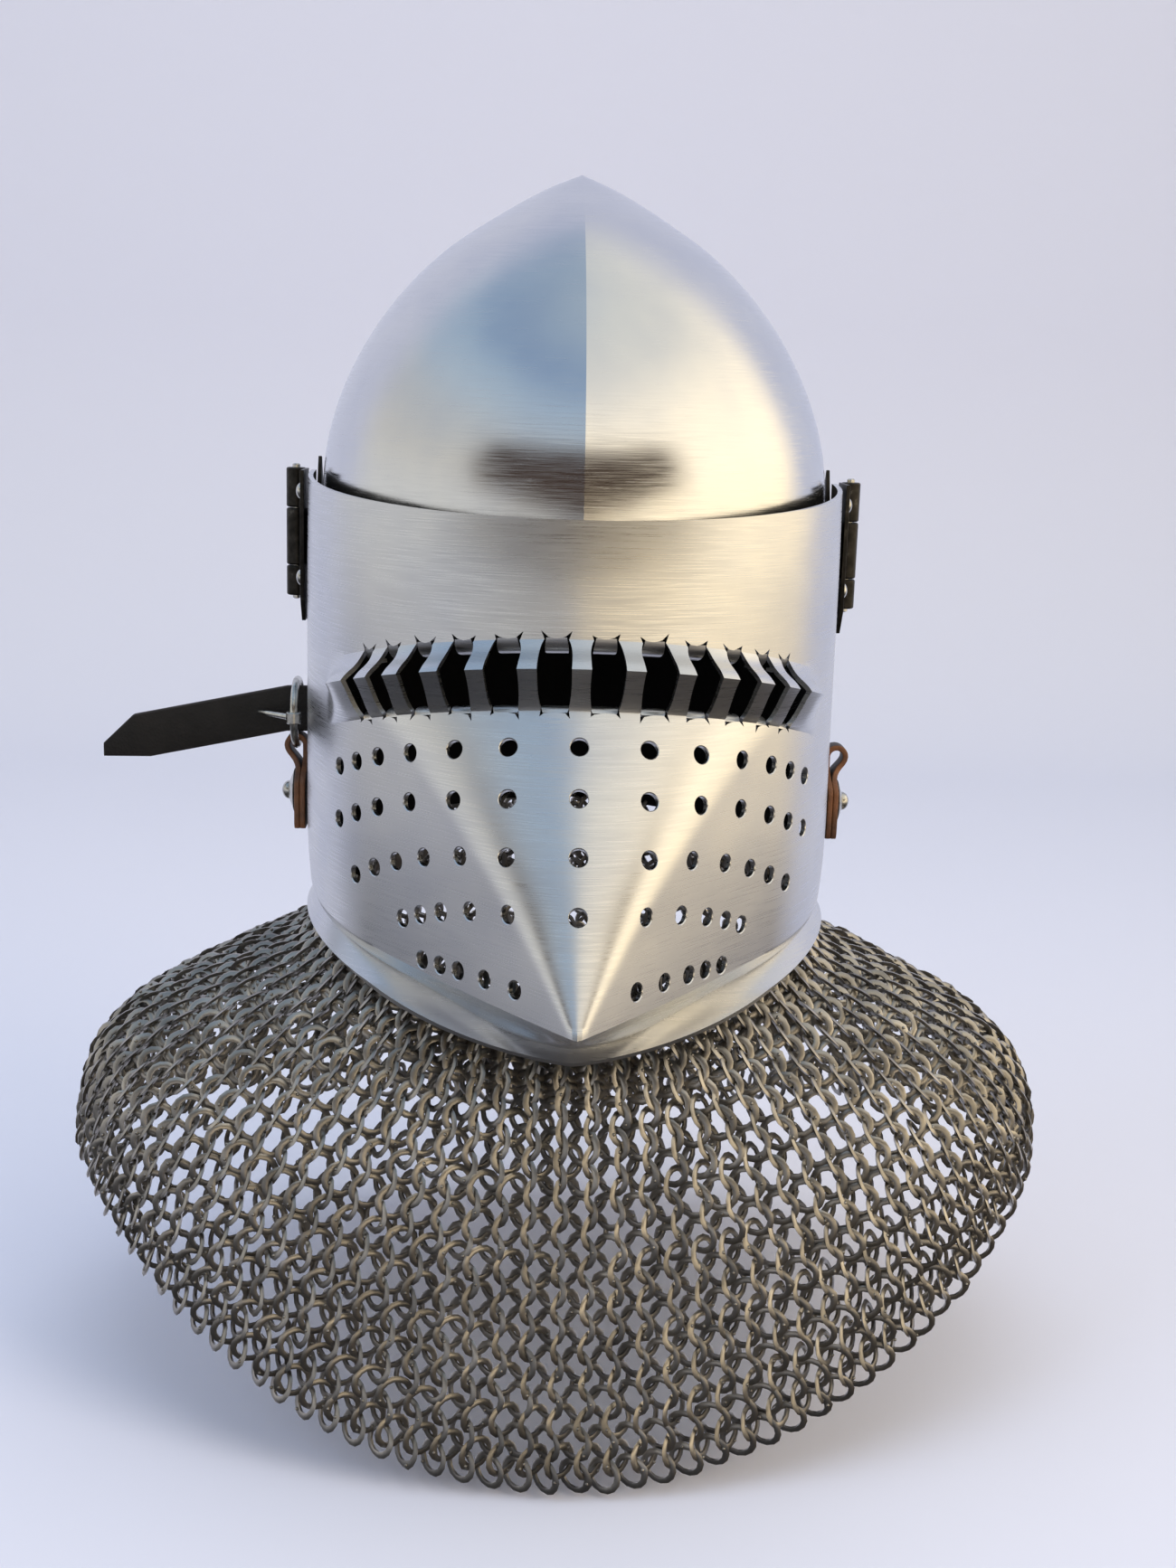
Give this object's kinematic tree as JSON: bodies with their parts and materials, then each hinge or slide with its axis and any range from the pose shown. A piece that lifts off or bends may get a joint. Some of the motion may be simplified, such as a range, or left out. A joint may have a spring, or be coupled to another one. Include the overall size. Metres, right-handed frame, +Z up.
{
  "type": "hounskull bascinet",
  "caption": "Pointed steel helmet with a keeled skull, a lifting snouted visor with barred eye slots and breath holes, a buckled strap and a mail aventail.",
  "frame": {"origin": "the crown of the wearer's head, where it seats inside the skull", "axes": "+Z up, the wearer looks along -Y, +X is the wearer's left"},
  "size_m": [0.424, 0.3359, 0.5052],
  "materials": {
    "polished_steel": "satin-polished mild steel sheet with fine sanding lines",
    "mail_steel": "dull oiled steel wire rings",
    "black_steel": "blackened steel plate, worn at the edges",
    "rivet_steel": "bright steel rivets, washers and wire",
    "black_leather": "black-dyed harness leather with brown cut edges"
  },
  "bodies": {
    "skull": {"skull": "polished_steel", "aventail": "mail_steel", "pivot_rivet_right": "rivet_steel", "pivot_rivet_left": "rivet_steel"},
    "visor": {"visor": "polished_steel", "hinge_arm_right": "black_steel", "hinge_arm_left": "black_steel", "hinge_leaf_right": "black_steel", "hinge_leaf_left": "black_steel", "hinge_pin_right": "rivet_steel", "hinge_pin_left": "rivet_steel", "leaf_rivet_upper_right": "rivet_steel", "leaf_rivet_upper_left": "rivet_steel", "leaf_rivet_lower_right": "rivet_steel", "leaf_rivet_lower_left": "rivet_steel", "tab_right": "black_leather", "tab_left": "black_leather", "tab_rivet_right": "rivet_steel", "tab_rivet_left": "rivet_steel", "ring_buckle": "rivet_steel", "buckle_prong": "rivet_steel", "closure_strap": "black_leather"}
  },
  "joints": [
    {"name": "visor_lift", "type": "hinge", "parent": "skull", "child": "visor", "pos_m": [0, 0.028, -0.077], "axis": [-1, 0, 0], "range_deg": [0, 60]}
  ]
}
